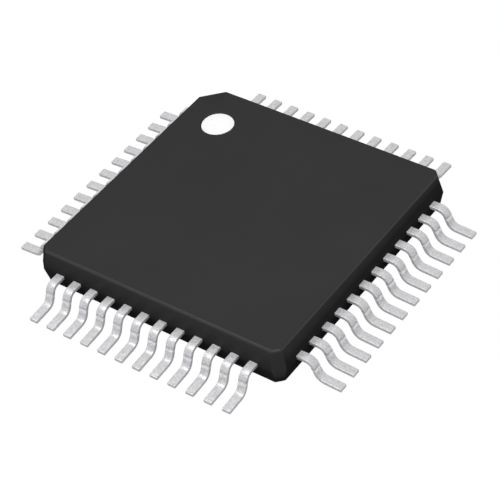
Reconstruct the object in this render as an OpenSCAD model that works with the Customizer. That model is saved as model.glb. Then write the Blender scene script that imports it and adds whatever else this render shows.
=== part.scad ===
// Thin quad flat pack chip: a silicon die on a copper lead frame, wired to gull-wing leads on
// four sides and moulded into a square black body. Millimetres, +Z up. The origin lies on the
// seating plane, under the middle of the body. Lead 1 is the +Y end of the -X side, beside the
// wide corner chamfer, and the leads are numbered anticlockwise seen from above.

/* [Moulded body] */
// Width of the square body, across its parting line
body_w = 6.95; // [6.9:0.01:7.1]
// Thickness of the body
body_t = 0.99; // [0.95:0.01:1.05]
// Gap from the seating plane up to the underside of the body
standoff = 0.06; // [0.05:0.01:0.15]
// Height of the parting line above the underside of the body
parting_h = 0.46; // [0.43:0.01:0.49]
// Draft of the side walls, in degrees from upright
draft = 12; // [8:1:15]
// Radius along the top edge
top_round = 0.08; // [0.03:0.01:0.12]
// Radius along the bottom edge
bottom_round = 0.04; // [0.02:0.01:0.08]
// Leg of the chamfer on three corners, at the parting line
corner_leg = 0.22; // [0.12:0.01:0.3]
// Leg of the wide chamfer on the pin 1 corner, at the parting line
pin_1_leg = 0.55; // [0.4:0.01:0.58]

/* [Pin 1 mark] */
// Distance of the mark's centre in from the side of leads 1 to 12
mark_from_side = 1.145; // [1.1:0.005:1.3]
// Distance of the mark's centre in from the side of leads 37 to 48
mark_from_back = 1.225; // [1.1:0.005:1.3]
// Diameter of the round dimple that holds the mark
mark_d = 0.84; // [0.5:0.01:0.9]
// Depth of the dimple
dimple_depth = 0.05; // [0.03:0.005:0.08]
// Thickness of the white ink on the floor of the dimple
ink_t = 0.02; // [0.01:0.005:0.025]

/* [Outer leads] */
// Number of leads on each side
leads_per_side = 12; // [4:1:12]
// Distance from each lead to the next
pitch = 0.5; // [0.45:0.01:0.5]
// Distance across the toes of opposite leads
toe_span = 9.2; // [9.1:0.01:9.4]
// Width of a lead
lead_w = 0.22; // [0.17:0.01:0.24]
// Thickness of the lead frame
lead_t = 0.09; // [0.08:0.001:0.15]
// Straight shoulder of a lead, from the parting line to its first bend
shoulder = 0.21; // [0.15:0.01:0.28]
// Inside radius of the bend at the shoulder
shoulder_r = 0.16; // [0.12:0.01:0.18]
// Inside radius of the bend at the heel
heel_r = 0.2; // [0.12:0.01:0.22]
// Slope of a lead's leg, in degrees down from level
leg_angle = 68; // [64:1:76]
// Slope of a lead's foot down to its toe, in degrees from level
foot_angle = 3.5; // [0:0.5:5]

/* [Inner leads] */
// Straight length of a lead inside the body, from the parting line to its fan, which starts
// sooner where a lead would come too near a tie bar
anchor = 0.35; // [0.25:0.01:0.4]
// Gap in plan from the die paddle to the tips of the inner leads
tip_gap = 0.25; // [0.15:0.01:0.3]
// Distance between the tips of the inner leads
tip_pitch = 0.36; // [0.3:0.01:0.37]
// Width of an inner lead at its tip
tip_w = 0.16; // [0.12:0.01:0.18]

/* [Die paddle] */
// Width of the square paddle
paddle_w = 4.2; // [3.8:0.05:4.3]
// Depth of the paddle below the inner leads
paddle_drop = 0.15; // [0.13:0.01:0.18]
// Width of the four tie bars that run to the corners
tie_w = 0.2; // [0.12:0.01:0.24]
// Level length of a tie bar, between the paddle and its rise
tie_level = 0.1; // [0.08:0.01:0.2]
// Mould compound left over the cut end of a tie bar
tie_cover = 0.12; // [0.06:0.01:0.3]
// Least gap from a tie bar to the leads on both sides of it
tie_gap = 0.08; // [0.04:0.01:0.08]

/* [Die] */
// Width of the square silicon die
die_w = 3; // [2.6:0.1:3.4]
// Thickness of the die
die_t = 0.2; // [0.15:0.01:0.22]
// Thickness of the adhesive under the die
adhesive_t = 0.025; // [0.015:0.005:0.04]
// Width of adhesive squeezed out all round the die
adhesive_rim = 0.06; // [0.02:0.01:0.12]

/* [Bond wires] */
// Diameter of the wire
wire_d = 0.025; // [0.02:0.001:0.03]
// Diameter of the ball welded to the die
ball_d = 0.06; // [0.04:0.005:0.08]
// Height of the ball
ball_h = 0.02; // [0.012:0.002:0.03]
// Height of the loop's centre line above the die
loop_h = 0.14; // [0.1:0.01:0.16]
// Radius of the bend at the top of the loop
loop_r = 0.04; // [0.03:0.005:0.06]
// Distance between the bond pads along each edge of the die
pad_pitch = 0.2; // [0.12:0.01:0.21]
// Distance of the bond pads in from the edge of the die
pad_in = 0.1; // [0.06:0.01:0.15]
// Distance of the weld on an inner lead back from its tip
weld_in = 0.12; // [0.1:0.01:0.2]

/* [Hidden] */
$fn = 48;
lead_count = 4 * leads_per_side;
margin = 1;                                       // spare reach of a cutting shape
edge_steps = 6;                                   // flats in the rounding of a moulded edge

// Heights above the seating plane
body_low = standoff;
body_top = body_low + body_t;
lead_z = body_low + parting_h;                    // middle plane of the leads, at the parting line
lead_top = lead_z + lead_t / 2;
paddle_z = lead_z - paddle_drop;                  // middle plane of the paddle
adhesive_low = paddle_z + lead_t / 2;
die_low = adhesive_low + adhesive_t;
die_top = die_low + die_t;

// Distances out from the middle
side = body_w / 2;
corner_reach = (body_w - corner_leg) / sqrt(2);
pin_1_reach = (body_w - pin_1_leg) / sqrt(2);
bend_start = side + shoulder;
row_edge = (leads_per_side - 1) / 2 * pitch + lead_w / 2;
fan_start = max(side - anchor, row_edge + (tie_w / 2 + tie_gap) * sqrt(2));
tip_x = paddle_w / 2 + tip_gap;
pad_x = die_w / 2 - pad_in;
weld_x = tip_x + weld_in;

// Corners of a lead's middle line, each where two straight stretches would meet without their
// bend, measured from the start of the first bend. The leg and the foot are as long as it takes
// to bring the toe down to the seating plane at the stated span.
shoulder_corner = [(shoulder_r + lead_t / 2) * tan(leg_angle / 2), 0];
toe = [
    toe_span / 2 - lead_t / 2 * sin(foot_angle) - bend_start,
    lead_t / 2 * cos(foot_angle) - lead_z,
];
to_toe = toe - shoulder_corner;
leg_run = (-to_toe.y * cos(foot_angle) - to_toe.x * sin(foot_angle)) / sin(leg_angle - foot_angle);
heel_corner = shoulder_corner + leg_run * [cos(leg_angle), -sin(leg_angle)];

// Side 0 is -X, and the sides follow anticlockwise: -Y, +X, +Y
function lead_side(i) = floor((i - 1) / leads_per_side);
function lead_step(i) = (i - 1) % leads_per_side - (leads_per_side - 1) / 2;
function lead_turn(i) = 90 * lead_side(i) - 180;
function lead_name(i) = str("lead_", i < 10 ? "0" : "", i);

function unit(v) = v / norm(v);
function left_of(v) = [-v.y, v.x];

// The sliver between an arc of radius r and the corner at p that it rounds, with a and b the
// points on either side. Its point reaches past p, so that it shares no edge with what it cuts.
module corner_bit(a, p, b, r) {
    to_a = unit(a - p);
    to_b = unit(b - p);
    inward = unit(to_a + to_b);
    half = acos(to_a * to_b) / 2;
    centre = p + inward * r / sin(half);
    difference() {
        polygon([p - inward * r / 4, p + to_a * r / tan(half), centre, p + to_b * r / tan(half)]);
        translate(centre) circle(r);
    }
}

// Points along the arc of radius r that rounds the corner at p, from the side of a to that of b
function round_off(a, p, b, r) =
    let (
        to_a = unit(a - p),
        to_b = unit(b - p),
        half = acos(to_a * to_b) / 2,
        centre = p + unit(to_a + to_b) * r / sin(half),
        outward = atan2(p.y - centre.y, p.x - centre.x)
    )
    [for (i = [0:edge_steps])
        let (direction = outward + (2 * i / edge_steps - 1) * (90 - half))
        centre + r * [cos(direction), sin(direction)]];

// Upright section of the body, from left to right at the parting line: both halves of the mould
// taper away from it, and the edges of the top and the underside are rounded
module body_section(left, right) {
    draw_up = (body_t - parting_h) * tan(draft);
    draw_down = parting_h * tan(draft);
    top_left = [-left + draw_up, body_top];
    top_right = [right - draw_up, body_top];
    low_left = [-left + draw_down, body_low];
    low_right = [right - draw_down, body_low];
    edge_left = [-left, lead_z];
    edge_right = [right, lead_z];
    polygon(concat(
        round_off(edge_left, low_left, low_right, bottom_round),
        round_off(low_left, low_right, edge_right, bottom_round),
        [edge_right],
        round_off(edge_right, top_right, top_left, top_round),
        round_off(top_right, top_left, edge_left, top_round),
        [edge_left]
    ));
}

// A bar with the body's section, lying across the direction turned by angle
module body_bar(angle, left, right)
    rotate(angle) rotate([90, 0, 0])
        linear_extrude(2 * (body_w + margin), center = true) body_section(left, right);

// Outer form of the body: where the bars along both pairs of sides and both pairs of corners meet
module body_form() {
    intersection() {
        body_bar(0, side, side);
        body_bar(90, side, side);
        body_bar(45, corner_reach, corner_reach);
        body_bar(-45, pin_1_reach, corner_reach);
    }
}

// Round disc by the pin 1 corner, t thick, with its underside at depth below the top face
module mark_disc(depth, t)
    translate([mark_from_side - side, side - mark_from_back, body_top - depth])
        cylinder(d = mark_d, h = t);

// Point on one edge of the strip beside the corner p of its middle line: above is 1 on the upper
// edge and -1 on the lower
function edge_point(before, p, after, above) =
    let (n1 = left_of(unit(p - before)), n2 = left_of(unit(after - p)))
    p + above * lead_t / 2 * (n1 + n2) / (1 + n1 * n2);

// The open corner inside a bend at p, between the directions of a and b, rounded by radius r
module bend_hollow(a, p, b, r) {
    to_a = margin * unit(a - p);
    to_b = margin * unit(b - p);
    difference() {
        polygon([p, p + to_a, p + to_a + to_b, p + to_b]);
        corner_bit(a, p, b, r);
    }
}

// Side view of the formed strip, from the inner tip to the toe: down at the shoulder and back up
// to level at the heel. Its origin is where the first bend starts.
module strip_outline() {
    start = [tip_x - bend_start, 0];
    up = [0, lead_t / 2];
    across = lead_t / 2 * left_of(unit(toe - heel_corner));
    shoulder_above = edge_point(start, shoulder_corner, heel_corner, 1);
    shoulder_below = edge_point(start, shoulder_corner, heel_corner, -1);
    heel_above = edge_point(shoulder_corner, heel_corner, toe, 1);
    heel_below = edge_point(shoulder_corner, heel_corner, toe, -1);
    difference() {
        polygon([start + up, shoulder_above, toe + across, toe - across, heel_below, start - up]);
        bend_hollow(start - up, shoulder_below, heel_below, shoulder_r);
        bend_hollow(shoulder_above, heel_above, toe + across, heel_r);
        corner_bit(start + up, shoulder_above, heel_above, shoulder_r + lead_t);
        corner_bit(shoulder_below, heel_below, toe - across, heel_r + lead_t);
    }
}

// Plan of one lead as it is blanked from the sheet: it fans in from the body's side to the die
module lead_plan(step)
    polygon([
        [tip_x, step * tip_pitch - tip_w / 2],
        [fan_start, step * pitch - lead_w / 2],
        [side + toe_span, step * pitch - lead_w / 2],
        [side + toe_span, step * pitch + lead_w / 2],
        [fan_start, step * pitch + lead_w / 2],
        [tip_x, step * tip_pitch + tip_w / 2],
    ]);

// One lead of the frame, from its tip beside the die out through the body to its toe: the plan
// that was blanked, with the side view that it was formed to
module lead(i)
    color([0.78, 0.79, 0.8]) rotate(lead_turn(i)) intersection() {
        translate([0, 0, -margin]) linear_extrude(lead_z + 2 * margin) lead_plan(lead_step(i));
        translate([bend_start, 0, lead_z]) rotate([90, 0, 0])
            linear_extrude(body_w, center = true) strip_outline();
    }

// Tie bar that runs out to one corner: level with the paddle, then up to the plane of the leads
module tie_bar(angle, reach) {
    corner = paddle_w / sqrt(2);
    rise_start = corner + tie_level;
    rise_end = rise_start + paddle_drop;
    back = lead_t * tan(45 / 2);                  // keeps the slope as thick as the rest
    low = paddle_z - lead_t / 2;
    rotate(angle) rotate([90, 0, 0]) linear_extrude(tie_w, center = true)
        polygon([
            [corner - tie_w, low],
            [rise_start, low],
            [rise_end, low + paddle_drop],
            [reach - tie_cover, low + paddle_drop],
            [reach - tie_cover, low + paddle_drop + lead_t],
            [rise_end - back, low + paddle_drop + lead_t],
            [rise_start - back, low + lead_t],
            [corner - tie_w, low + lead_t],
        ]);
}

module die_paddle() {
    color([0.72, 0.45, 0.3]) union() {
        translate([0, 0, paddle_z]) cube([paddle_w, paddle_w, lead_t], center = true);
        tie_bar(45, corner_reach);
        tie_bar(-45, corner_reach);
        tie_bar(-135, corner_reach);
        tie_bar(135, pin_1_reach);
    }
}

// A square plate centred on the package, standing on the height low
module plate(width, low, t)
    translate([-width / 2, -width / 2, low]) cube([width, width, t]);

module die_attach()
    color([0.6, 0.6, 0.58]) plate(die_w + 2 * adhesive_rim, adhesive_low, adhesive_t);

module die()
    color([0.25, 0.27, 0.32]) plate(die_w, die_low, die_t);

// One gold wire in its own upright plane: a ball on the die, up, over in one bend, and down in
// a straight line to its weld on the inner lead. dip is the slope at which the line meets the
// point at distance reach, at the height of the inner leads.
module bond_wire(i) {
    step = lead_step(i);
    pad = [pad_x, step * pad_pitch];
    weld_share = weld_in / (fan_start - tip_x);
    weld = [weld_x, step * (tip_pitch + (pitch - tip_pitch) * weld_share)];
    reach = norm(weld - pad);
    neck = loop_h - loop_r;
    fall = neck + die_top - lead_top;
    dip = atan2(fall, reach - loop_r) + asin(loop_r / norm([fall, reach - loop_r]));
    line_x = loop_r * (1 + sin(dip));
    line_len = (reach - line_x) / cos(dip);
    rotate(lead_turn(i)) translate([pad.x, pad.y, die_top])
        rotate(atan2(weld.y - pad.y, weld.x - pad.x))
            difference() {
                union() {
                    cylinder(d = ball_d, h = ball_h);
                    cylinder(d = wire_d, h = neck);
                    translate([loop_r, 0, neck]) rotate([90, 0, 0]) rotate(90 - dip)
                        rotate_extrude(angle = 90 + dip) translate([loop_r, 0]) circle(d = wire_d);
                    translate([line_x, 0, neck + loop_r * cos(dip)]) rotate([0, 90 + dip, 0])
                        cylinder(d = wire_d, h = line_len + ball_d);
                }
                translate([reach / 2, -ball_d, lead_top - die_top - margin])
                    cube([reach, 2 * ball_d, margin]);
            }
}

module bond_wires()
    color([0.9, 0.72, 0.3]) for (i = [1:lead_count]) bond_wire(i);

// White ink on the floor of the dimple
module pin_1_mark()
    color([0.97, 0.97, 0.97]) mark_disc(dimple_depth, ink_t);

// Black epoxy body, moulded round everything that it holds
module mould_body() {
    color([0.2, 0.2, 0.21]) difference() {
        body_form();
        mark_disc(dimple_depth, dimple_depth + margin);
        die_paddle();
        die_attach();
        die();
        bond_wires();
        for (i = [1:lead_count]) lead(i);
    }
}

mould_body();
pin_1_mark();
die_paddle();
die_attach();
die();
bond_wires();
for (i = [1:lead_count]) lead(i);
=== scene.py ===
import math

import bmesh
import bpy
from mathutils import Matrix, Vector


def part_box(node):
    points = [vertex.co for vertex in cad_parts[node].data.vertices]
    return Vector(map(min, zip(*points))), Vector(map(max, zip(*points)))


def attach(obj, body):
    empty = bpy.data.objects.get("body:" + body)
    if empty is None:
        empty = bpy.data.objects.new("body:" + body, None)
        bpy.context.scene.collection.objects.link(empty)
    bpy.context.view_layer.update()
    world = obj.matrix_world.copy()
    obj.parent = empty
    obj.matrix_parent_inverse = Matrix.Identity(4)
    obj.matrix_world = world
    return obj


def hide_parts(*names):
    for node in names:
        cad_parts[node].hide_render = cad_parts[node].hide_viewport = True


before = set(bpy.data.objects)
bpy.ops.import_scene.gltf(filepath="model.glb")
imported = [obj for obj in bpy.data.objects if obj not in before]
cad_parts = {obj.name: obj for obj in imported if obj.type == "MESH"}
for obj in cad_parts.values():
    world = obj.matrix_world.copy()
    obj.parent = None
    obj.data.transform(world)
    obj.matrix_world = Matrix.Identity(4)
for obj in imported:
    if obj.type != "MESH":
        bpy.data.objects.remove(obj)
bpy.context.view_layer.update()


# --- Die paddle -------------------------------------------------------------------------------
# The paddle and its four tie bars are one piece of copper alloy sheet, blanked and pressed down
# a little below the leads. It is bare, with the fine lines of the rolling mill.

MM = 0.001                                        # in metres


def finish(name, colour, metallic, roughness):
    """A material that is the same all over, until it is tinted, roughened or embossed."""
    material = bpy.data.materials.new(name)
    material.use_nodes = True
    shader = material.node_tree.nodes["Principled BSDF"]
    shader.inputs["Base Color"].default_value = (*colour, 1)
    shader.inputs["Metallic"].default_value = metallic
    shader.inputs["Roughness"].default_value = roughness
    return material


def speckle(material, size, detail, stretch=(1, 1, 1)):
    """Noise in lumps of about one size over a piece, drawn out along an axis where stretch is
    above 1."""
    nodes = material.node_tree.nodes
    links = material.node_tree.links
    place = nodes.new("ShaderNodeTexCoord")
    drawn = nodes.new("ShaderNodeMapping")
    noise = nodes.new("ShaderNodeTexNoise")
    drawn.inputs["Scale"].default_value = [1 / length for length in stretch]
    noise.inputs["Scale"].default_value = 1 / size
    noise.inputs["Detail"].default_value = detail
    links.new(place.outputs["Object"], drawn.inputs["Vector"])
    links.new(drawn.outputs["Vector"], noise.inputs["Vector"])
    return noise.outputs["Fac"]


def ramp(tree, value, low, high, start, end):
    """From start to end as value goes from low to high, and level beyond them."""
    span = tree.nodes.new("ShaderNodeMapRange")
    span.inputs["From Min"].default_value = low
    span.inputs["From Max"].default_value = high
    span.inputs["To Min"].default_value = start
    span.inputs["To Max"].default_value = end
    tree.links.new(value, span.inputs["Value"])
    return span.outputs["Result"]


def spread(material, value, start, end):
    """From start to end over the range that noise mostly keeps to."""
    return ramp(material.node_tree, value, 0.3, 0.7, start, end)


def tint(material, value, dark, light):
    """Colours the piece from dark to light as value goes from 0 to 1."""
    nodes = material.node_tree.nodes
    links = material.node_tree.links
    mix = nodes.new("ShaderNodeMix")
    mix.data_type = "RGBA"
    mix.inputs["A"].default_value = (*dark, 1)
    mix.inputs["B"].default_value = (*light, 1)
    links.new(value, mix.inputs["Factor"])
    links.new(mix.outputs["Result"], nodes["Principled BSDF"].inputs["Base Color"])


def roughen(material, value):
    """Takes the piece's roughness from value."""
    shader = material.node_tree.nodes["Principled BSDF"]
    material.node_tree.links.new(value, shader.inputs["Roughness"])


def emboss(material, value, height):
    """Raises the surface by height where value is 1, on top of what is embossed already."""
    nodes = material.node_tree.nodes
    links = material.node_tree.links
    normal = nodes["Principled BSDF"].inputs["Normal"]
    bump = nodes.new("ShaderNodeBump")
    bump.inputs["Distance"].default_value = height
    links.new(value, bump.inputs["Height"])
    if normal.is_linked:
        links.new(normal.links[0].from_socket, bump.inputs["Normal"])
    links.new(bump.outputs["Normal"], normal)


def dress(node, material):
    """Gives a CAD node its finish."""
    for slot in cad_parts[node].material_slots:
        slot.material = material


copper = finish("rolled_copper", (0.72, 0.42, 0.28), 1.0, 0.35)
mill_lines = speckle(copper, 0.03 * MM, 3, stretch=(20, 1, 1))
tint(copper, mill_lines, (0.66, 0.37, 0.24), (0.77, 0.47, 0.32))
roughen(copper, spread(copper, mill_lines, 0.28, 0.42))
emboss(copper, mill_lines, 0.001 * MM)
dress("die_paddle", copper)


# --- Die adhesive -----------------------------------------------------------------------------
# Silver-filled epoxy, pressed out a little all round by the die that sits in it.

adhesive = finish("silver_epoxy", (0.55, 0.55, 0.53), 0.4, 0.5)
flakes = speckle(adhesive, 0.015 * MM, 4)
tint(adhesive, flakes, (0.42, 0.42, 0.4), (0.66, 0.66, 0.64))
emboss(adhesive, flakes, 0.002 * MM)
dress("die_attach", adhesive)


# --- Die --------------------------------------------------------------------------------------
# A square of silicon, sawn from its wafer. Its face is polished, with faint blocks of circuitry
# that show as slight changes of colour.

silicon = finish("silicon", (0.2, 0.22, 0.27), 0.6, 0.18)
nodes = silicon.node_tree.nodes
links = silicon.node_tree.links
place = nodes.new("ShaderNodeTexCoord")
blocks = nodes.new("ShaderNodeTexBrick")
blocks.inputs["Scale"].default_value = 1 / MM
blocks.inputs["Color1"].default_value = (0.16, 0.18, 0.24, 1)
blocks.inputs["Color2"].default_value = (0.26, 0.27, 0.3, 1)
blocks.inputs["Mortar"].default_value = (0.12, 0.13, 0.16, 1)
blocks.inputs["Mortar Size"].default_value = 0.012
blocks.inputs["Brick Width"].default_value = 0.44
blocks.inputs["Row Height"].default_value = 0.3
links.new(place.outputs["Object"], blocks.inputs["Vector"])
links.new(blocks.outputs["Color"], nodes["Principled BSDF"].inputs["Base Color"])
roughen(silicon, spread(silicon, speckle(silicon, 0.2 * MM, 2), 0.14, 0.24))
dress("die", silicon)


# --- Bond wires -------------------------------------------------------------------------------
# Fine gold wire, ball-welded to the die and stitched to each inner lead.

gold = finish("drawn_gold", (0.95, 0.72, 0.3), 1.0, 0.22)
roughen(gold, spread(gold, speckle(gold, 0.02 * MM, 2), 0.18, 0.3))
dress("bond_wires", gold)


# --- Leads ------------------------------------------------------------------------------------
# Strips of the same copper sheet, blanked with the paddle, plated with matt tin once the body is
# moulded, and then cropped and bent into gull wings. The punch and the plating ease their edges.

LEADS_A_SIDE = 12
LEAD_PITCH = 0.5 * MM
LEAD_WIDTH = 0.22 * MM
LEAD_THICKNESS = 0.09 * MM
LEAD_EASE = 0.016 * MM
SHOULDER = 0.21 * MM                              # level, from the body to the first bend
SHOULDER_RADIUS = 0.16 * MM + LEAD_THICKNESS / 2  # of the middle line
HEEL_RADIUS = 0.2 * MM + LEAD_THICKNESS / 2
LEG_SLOPE = math.radians(68)
FOOT_SLOPE = math.radians(3.5)
BEND_STEPS = 10
ANCHOR = 0.35 * MM                                # straight, from the body's side in to the fan
TIP_PITCH = 0.36 * MM
TIP_WIDTH = 0.16 * MM

body_low, body_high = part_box("mould_body")
lead_low, lead_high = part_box("lead_01")
body_half = body_high.x
toe_reach = -lead_low.x
tip_reach = -lead_high.x
lead_level = lead_high.z - LEAD_THICKNESS / 2
bend_start = body_half + SHOULDER

# The straight runs of the leg and the foot, which bring the toe down to the board
toe_out = toe_reach - LEAD_THICKNESS / 2 * math.sin(FOOT_SLOPE) - bend_start
toe_down = LEAD_THICKNESS / 2 * math.cos(FOOT_SLOPE) - lead_level
bend_back = math.cos(LEG_SLOPE - FOOT_SLOPE)
leg_run = (
    SHOULDER_RADIUS * (bend_back - math.cos(FOOT_SLOPE))
    + HEEL_RADIUS * (bend_back - 1)
    - toe_out * math.sin(FOOT_SLOPE)
    - toe_down * math.cos(FOOT_SLOPE)
) / math.sin(LEG_SLOPE - FOOT_SLOPE)
foot_run = (
    toe_out
    - SHOULDER_RADIUS * math.sin(LEG_SLOPE)
    - leg_run * math.cos(LEG_SLOPE)
    - HEEL_RADIUS * (math.sin(LEG_SLOPE) - math.sin(FOOT_SLOPE))
) / math.cos(FOOT_SLOPE)


def run_on(strip, end, way):
    """Draws the strip on from its end face, straight along way, and returns the new end."""
    drawn = bmesh.ops.extrude_discrete_faces(strip, faces=[end])["faces"][0]
    bmesh.ops.translate(strip, vec=way, verts=drawn.verts)
    return drawn


def bend_on(strip, end, centre, angle):
    """Bends the strip on from its end face, downwards where angle is above 0."""
    turned = bmesh.ops.spin(
        strip, geom=[end], cent=centre, axis=(0, 1, 0), dvec=(0, 0, 0), angle=angle,
        steps=BEND_STEPS, use_merge=False, use_normal_flip=False, use_duplicate=False,
    )["geom_last"]
    bmesh.ops.delete(strip, geom=[end], context="FACES_ONLY")
    return next(f for f in turned if isinstance(f, bmesh.types.BMFace))


def formed_lead(step):
    """A lead along +X, step pitches from the middle of its side."""
    strip = bmesh.new()
    across = step * LEAD_PITCH
    fan_start = body_half - ANCHOR
    corners = [(-1, -1), (1, -1), (1, 1), (-1, 1)]
    end = strip.faces.new([
        strip.verts.new((
            tip_reach,
            step * TIP_PITCH + wide * TIP_WIDTH / 2,
            lead_level + high * LEAD_THICKNESS / 2,
        ))
        for wide, high in corners
    ])
    end = run_on(strip, end, (fan_start - tip_reach, across - step * TIP_PITCH, 0))
    bmesh.ops.scale(
        strip, vec=(1, LEAD_WIDTH / TIP_WIDTH, 1), verts=end.verts,
        space=Matrix.Translation((0, -across, 0)),
    )
    end = run_on(strip, end, (bend_start - fan_start, 0, 0))
    centre = Vector((bend_start, across, lead_level - SHOULDER_RADIUS))
    end = bend_on(strip, end, centre, LEG_SLOPE)
    down_leg = Vector((math.cos(LEG_SLOPE), 0, -math.sin(LEG_SLOPE)))
    end = run_on(strip, end, leg_run * down_leg)
    off_leg = Vector((math.sin(LEG_SLOPE), 0, math.cos(LEG_SLOPE)))
    centre = end.calc_center_median() + HEEL_RADIUS * off_leg
    end = bend_on(strip, end, centre, FOOT_SLOPE - LEG_SLOPE)
    run_on(strip, end, foot_run * Vector((math.cos(FOOT_SLOPE), 0, -math.sin(FOOT_SLOPE))))
    bmesh.ops.holes_fill(strip, edges=strip.edges, sides=4)
    bmesh.ops.recalc_face_normals(strip, faces=strip.faces)
    # Only the blanked corners turn this far; the steps of a bend turn by a few degrees each
    sharp = [edge for edge in strip.edges if edge.calc_face_angle() > math.radians(60)]
    bmesh.ops.bevel(
        strip, geom=sharp, offset=LEAD_EASE, offset_type="OFFSET", segments=3, profile=0.5,
        affect="EDGES", material=-1,
    )
    return strip


def solid_piece(name, mesh_code, material):
    """A finished piece from its bmesh, smooth over its bends and flat on its flats."""
    mesh = bpy.data.meshes.new(name)
    for face in mesh_code.faces:
        face.smooth = True
    mesh_code.to_mesh(mesh)
    mesh_code.free()
    mesh.materials.append(material)
    piece = bpy.data.objects.new(name, mesh)
    bpy.context.scene.collection.objects.link(piece)
    flats = piece.modifiers.new("flats", "WEIGHTED_NORMAL")
    flats.weight = 100
    return piece


def reckon(tree, operation, *terms):
    """A sum worked at each point. A term is a number or the output of another node."""
    step = tree.nodes.new("ShaderNodeMath")
    step.operation = operation
    for entry, term in zip(step.inputs, terms):
        if isinstance(term, bpy.types.NodeSocket):
            tree.links.new(term, entry)
        else:
            entry.default_value = term
    return step.outputs["Value"]


def level_band(material, level, half_width, waver):
    """1 along a level line round the piece, down to 0 at half_width from it. The line wanders
    within a band as high as waver."""
    tree = material.node_tree
    place = tree.nodes.new("ShaderNodeTexCoord")
    split = tree.nodes.new("ShaderNodeSeparateXYZ")
    tree.links.new(place.outputs["Object"], split.inputs["Vector"])
    wander = speckle(material, 0.08 * MM, 2)
    height = reckon(tree, "MULTIPLY_ADD", wander, waver, split.outputs["Z"])
    above = reckon(tree, "SUBTRACT", height, level + waver / 2)
    return ramp(tree, reckon(tree, "ABSOLUTE", above), 0, half_width, 1, 0)


def shade_by(material, value, share):
    """Multiplies the colour that the piece has so far, by share where value is 1."""
    nodes = material.node_tree.nodes
    links = material.node_tree.links
    colour = nodes["Principled BSDF"].inputs["Base Color"]
    mix = nodes.new("ShaderNodeMix")
    mix.data_type = "RGBA"
    mix.blend_type = "MULTIPLY"
    mix.inputs["B"].default_value = (share, share, share, 1)
    links.new(value, mix.inputs["Factor"])
    links.new(colour.links[0].from_socket, mix.inputs["A"])
    links.new(mix.outputs["Result"], colour)


tin = finish("matt_tin", (0.78, 0.78, 0.79), 0.42, 0.36)
grains = speckle(tin, 0.04 * MM, 4)
clouds = speckle(tin, 0.14 * MM, 3)
tint(tin, spread(tin, grains, 0, 1), (0.56, 0.555, 0.575), (0.81, 0.805, 0.825))
roughen(tin, spread(tin, clouds, 0.3, 0.44))
emboss(tin, clouds, 0.015 * MM)
emboss(tin, grains, 0.0025 * MM)

# Painted light and scuffs on the leads: height, half width, how far each wanders, and its shade
PAINTED_REFLECTION_LINE = 0.38 * MM
scuffs_and_painted_light = [
    (PAINTED_REFLECTION_LINE, 0.024 * MM, 0.08 * MM, 0.6),               # painted reflection, a dark line across the leg
    (PAINTED_REFLECTION_LINE - 0.06 * MM, 0.055 * MM, 0.03 * MM, 1.35),  # painted reflection, a bright band under it
    (PAINTED_REFLECTION_LINE - 0.1 * MM, 0.04 * MM, 0.7 * MM, 0.78),     # dull scuffs, here and there
    (lead_high.z, 0.012 * MM, 0, 1.12),                    # painted highlight on the level shoulder
]
for height, half_width, waver, share in scuffs_and_painted_light:
    shade_by(tin, level_band(tin, height, half_width, waver), share)

for number in range(1, 4 * LEADS_A_SIDE + 1):
    side, place_on_side = divmod(number - 1, LEADS_A_SIDE)
    lead_mesh = formed_lead(place_on_side - (LEADS_A_SIDE - 1) / 2)
    lead_mesh.transform(Matrix.Rotation(math.radians(90 * side - 180), 4, "Z"))
    node = f"lead_{number:02d}"
    lead = solid_piece("formed_" + node, lead_mesh, tin)
    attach(lead, "root")
    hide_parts(node)


# --- Moulded body -----------------------------------------------------------------------------
# Black epoxy compound, shot between two mould halves that part at the leads. Each half tapers
# away from the parting line, and its sparked surface leaves the body fine and matt.

CORNER_LEG = 0.22 * MM
PIN_1_LEG = 0.55 * MM
DRAFT = math.radians(12)
TOP_RADIUS = 0.08 * MM
UNDER_RADIUS = 0.04 * MM
CORNER_EASE = 0.02 * MM
DIMPLE_DEPTH = 0.05 * MM
DIMPLE_LIP = 0.012 * MM
DIMPLE_LAND = 0.036 * MM                          # flat ring that joins the dimple to the top
SAME_POINT = 1e-4 * MM                            # closer than this is one point

mark_low, mark_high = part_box("pin_1_mark")
mark_centre = (mark_low + mark_high) / 2
dimple_radius = (mark_high.x - mark_low.x) / 2


def mould_half(moulding, height):
    """One half of the body, up from the parting line where height is above 0."""
    legs = [CORNER_LEG, PIN_1_LEG, CORNER_LEG, CORNER_LEG]
    plan = []
    for quarter, leg in enumerate(legs):
        for corner in ((body_half, body_half - leg), (body_half - leg, body_half)):
            plan.append(Matrix.Rotation(quarter * math.pi / 2, 2) @ Vector(corner))
    if height < 0:
        plan.reverse()
    face = moulding.faces.new([moulding.verts.new((*point, lead_level)) for point in plan])
    face.normal_update()
    bmesh.ops.inset_individual(
        moulding, faces=[face], thickness=abs(height) * math.tan(DRAFT), depth=abs(height),
        use_even_offset=True,
    )


def level_at(height, parts):
    """Those edges or faces that lie level at a height."""
    return [p for p in parts if all(abs(v.co.z - height) < SAME_POINT for v in p.verts)]


def soften(moulding, edges, offset, segments):
    """Rounds edges off, starting offset away from them."""
    bmesh.ops.bevel(
        moulding, geom=edges, offset=offset, offset_type="OFFSET", segments=segments,
        profile=0.5, affect="EDGES", material=-1, clamp_overlap=True,
    )


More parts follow.
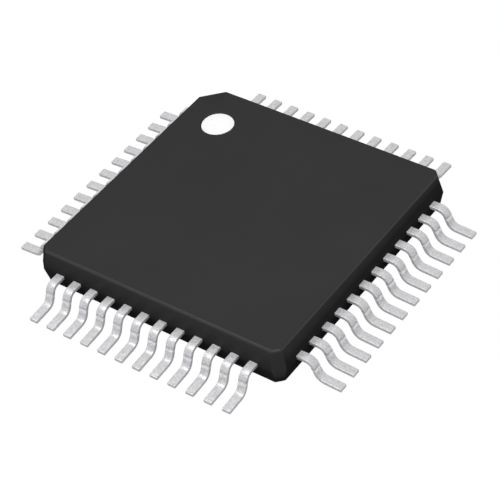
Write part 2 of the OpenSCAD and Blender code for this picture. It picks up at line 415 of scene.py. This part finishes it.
def turn(turned, profile, rounded, radius, segments):
    """Turns a profile about the mark's axis. The corners numbered in rounded get the radius."""
    corners = [turned.verts.new((mark_centre.x + out, mark_centre.y, z)) for out, z in profile]
    for pair in zip(corners, corners[1:]):
        turned.edges.new(pair)
    bmesh.ops.bevel(
        turned, geom=[corners[number] for number in rounded], offset=radius,
        offset_type="OFFSET", segments=segments, profile=0.5, affect="VERTICES", material=-1,
    )
    outline = [vert for vert in turned.verts if vert.is_wire]
    outline += [edge for edge in turned.edges if edge.is_wire]
    bmesh.ops.spin(
        turned, geom=outline, cent=mark_centre, axis=(0, 0, 1), dvec=(0, 0, 0),
        angle=2 * math.pi, steps=64, use_merge=True,
    )
    bmesh.ops.remove_doubles(turned, verts=turned.verts, dist=SAME_POINT)


moulding = bmesh.new()
mould_half(moulding, body_high.z - lead_level)
mould_half(moulding, body_low.z - lead_level)
bmesh.ops.remove_doubles(moulding, verts=moulding.verts, dist=SAME_POINT)
level = [e for z in (body_low.z, lead_level, body_high.z) for e in level_at(z, moulding.edges)]
soften(moulding, [e for e in moulding.edges if e not in level], CORNER_EASE, 3)
radius_reach = math.tan((math.pi / 2 - DRAFT) / 2)  # of a radius, along each face beside its edge
soften(moulding, level_at(body_high.z, moulding.edges), TOP_RADIUS * radius_reach, 6)
soften(moulding, level_at(body_low.z, moulding.edges), UNDER_RADIUS * radius_reach, 4)

# The dimple is turned about its own axis, and the top is filled in round it
dimple_floor = body_high.z - DIMPLE_DEPTH
dimple = [
    (dimple_radius + DIMPLE_LAND, body_high.z),
    (dimple_radius, body_high.z),
    (dimple_radius, dimple_floor),
    (0, dimple_floor),
]
turn(moulding, dimple, rounded=(1, 2), radius=DIMPLE_LIP, segments=3)
top = max(level_at(body_high.z, moulding.faces), key=lambda face: face.calc_area())
bmesh.ops.delete(moulding, geom=[top], context="FACES_ONLY")
rims = [e for e in moulding.edges if e.is_boundary]
bmesh.ops.triangle_fill(moulding, edges=rims, use_beauty=True, use_dissolve=False)
bmesh.ops.recalc_face_normals(moulding, faces=moulding.faces)

compound = finish("black_mould_compound", (0.022, 0.022, 0.0225), 0.0, 0.4)

# The sparked faces lose their sheen seen aslant, and the edge of the top is rubbed brighter
tree = compound.node_tree
facing = tree.nodes.new("ShaderNodeLayerWeight").outputs["Facing"]
matt_aslant = ramp(tree, facing, 0.3, 0.5, 1, 0)
edge_line = level_band(compound, body_high.z - 0.03 * MM, 0.034 * MM, 0)
rubbed_edge = ramp(tree, edge_line, 0, 1, 0.19, 0.52)
sheen = reckon(tree, "MULTIPLY", matt_aslant, rubbed_edge)
tree.links.new(sheen, tree.nodes["Principled BSDF"].inputs["Specular IOR Level"])

spark_grain = speckle(compound, 0.03 * MM, 3)
flow = speckle(compound, 1.5 * MM, 2)
tint(compound, spread(compound, flow, 0, 1), (0.0205, 0.0205, 0.0208), (0.0222, 0.0222, 0.0225))
roughen(compound, spread(compound, spark_grain, 0.32, 0.42))
emboss(compound, spark_grain, 0.0008 * MM)

body = solid_piece("moulded_body", moulding, compound)
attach(body, "root")
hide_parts("mould_body")


# --- Pin 1 mark -------------------------------------------------------------------------------
# A drop of white ink on the floor of the dimple. It levels out flat, with a soft edge.

INK_CLEARANCE = 0.01 * MM
INK_EDGE = 0.012 * MM

ink_radius = dimple_radius - INK_CLEARANCE
section = [(0, mark_low.z), (ink_radius, mark_low.z), (ink_radius, mark_high.z), (0, mark_high.z)]
drop = bmesh.new()
turn(drop, section, rounded=(2,), radius=INK_EDGE, segments=4)
bmesh.ops.recalc_face_normals(drop, faces=drop.faces)

ink = finish("white_ink", (0.92, 0.92, 0.91), 0.0, 0.5)
pigment = speckle(ink, 0.12 * MM, 3)
tint(ink, spread(ink, pigment, 0, 1), (0.92, 0.92, 0.915), (0.97, 0.97, 0.965))
emboss(ink, pigment, 0.001 * MM)

mark = solid_piece("ink_mark", drop, ink)
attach(mark, "root")
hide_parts("pin_1_mark")


# --- Floor ------------------------------------------------------------------------------------
# A plain sheet that keeps the part's shadow. It looks white to the camera and pale in the metal,
# and in the metal it carries painted shade, duller close to the part.

FLOOR_REACH = 400 * MM
FLOOR_DROP = 0.002 * MM                           # keeps it clear of the feet

floor_mesh = bmesh.new()
bmesh.ops.create_grid(floor_mesh, x_segments=1, y_segments=1, size=FLOOR_REACH)
bmesh.ops.translate(floor_mesh, vec=(0, 0, -FLOOR_DROP), verts=floor_mesh.verts)
sheet = bpy.data.meshes.new("floor")
floor_mesh.to_mesh(sheet)
floor_mesh.free()
floor = bpy.data.objects.new("floor", sheet)
bpy.context.scene.collection.objects.link(floor)

white = bpy.data.materials.new("pale_floor")
white.use_nodes = True
tree = white.node_tree
tree.nodes.remove(tree.nodes["Principled BSDF"])
shade = tree.nodes.new("ShaderNodeBsdfDiffuse")
shade.inputs["Color"].default_value = (0.28, 0.28, 0.28, 1)
glow = tree.nodes.new("ShaderNodeEmission")
glow.inputs["Strength"].default_value = 1.1
place = tree.nodes.new("ShaderNodeTexCoord")
either_way = tree.nodes.new("ShaderNodeVectorMath")
either_way.operation = "ABSOLUTE"
split = tree.nodes.new("ShaderNodeSeparateXYZ")
tree.links.new(place.outputs["Object"], either_way.inputs[0])
tree.links.new(either_way.outputs["Vector"], split.inputs["Vector"])
away = reckon(tree, "MAXIMUM", split.outputs["X"], split.outputs["Y"])
# Painted shade: in the metal the sheet's white share drops within a square round the part
painted_shade_ramp = ramp(tree, away, 4.9 * MM, 6.2 * MM, 0.35, 0.85)
ray = tree.nodes.new("ShaderNodeLightPath")
in_metal = reckon(tree, "MULTIPLY", ray.outputs["Is Glossy Ray"], painted_shade_ramp)
white_share = reckon(tree, "MULTIPLY_ADD", ray.outputs["Is Camera Ray"], 0.9, in_metal)
mix = tree.nodes.new("ShaderNodeMixShader")
tree.links.new(white_share, mix.inputs["Fac"])
tree.links.new(shade.outputs["BSDF"], mix.inputs[1])
tree.links.new(glow.outputs["Emission"], mix.inputs[2])
tree.links.new(mix.outputs["Shader"], tree.nodes["Material Output"].inputs["Surface"])
sheet.materials.append(white)


# --- Light ------------------------------------------------------------------------------------
# A pale sky, a little darker towards the horizon, and one long soft box overhead.

KEY_TILT = math.radians(17)                       # towards -Y
KEY_DISTANCE = 150 * MM
KEY_ALONG = -5 * MM                               # in X, from over the part's middle
KEY_LENGTH = 210 * MM
KEY_WIDTH = 56 * MM

sky = bpy.data.worlds.new("studio")
bpy.context.scene.world = sky
sky.use_nodes = True
tree = sky.node_tree
way = tree.nodes.new("ShaderNodeTexCoord")
split = tree.nodes.new("ShaderNodeSeparateXYZ")
tree.links.new(way.outputs["Generated"], split.inputs["Vector"])
backdrop = tree.nodes["Background"]
backdrop.inputs["Color"].default_value = (1, 1, 1, 1)
tree.links.new(ramp(tree, split.outputs["Z"], 0, 0.3, 0.6, 0.67), backdrop.inputs["Strength"])

lamp = bpy.data.lights.new("key", "AREA")
lamp.shape = "RECTANGLE"
lamp.size = KEY_LENGTH
lamp.size_y = KEY_WIDTH
lamp.energy = 0.125
key = bpy.data.objects.new("key", lamp)
key.location = (KEY_ALONG, -KEY_DISTANCE * math.sin(KEY_TILT), KEY_DISTANCE * math.cos(KEY_TILT))
key.rotation_euler = (KEY_TILT, 0, 0)
bpy.context.scene.collection.objects.link(key)


# --- Camera -----------------------------------------------------------------------------------
# A long lens, high over the corner between the -Y and +X sides.

CAMERA_TURN = math.radians(41.21)
CAMERA_CLIMB = math.radians(43.34)
CAMERA_ROLL = math.radians(-8.31)
CAMERA_OFFSET = Vector((0.0934, -0.1861, 46.544)) * MM  # along its own axes, from the origin

camera = bpy.data.cameras.new("camera")
camera.lens = 142
camera.sensor_width = 36
camera.clip_start = 1 * MM
camera.clip_end = 2
stand = bpy.data.objects.new("camera", camera)
aim = (
    Matrix.Rotation(CAMERA_TURN, 4, "Z")
    @ Matrix.Rotation(math.pi / 2 - CAMERA_CLIMB, 4, "X")
    @ Matrix.Rotation(CAMERA_ROLL, 4, "Z")
)
stand.matrix_world = aim @ Matrix.Translation(CAMERA_OFFSET)
bpy.context.scene.collection.objects.link(stand)
bpy.context.scene.camera = stand

bpy.context.scene.view_settings.view_transform = "Standard"
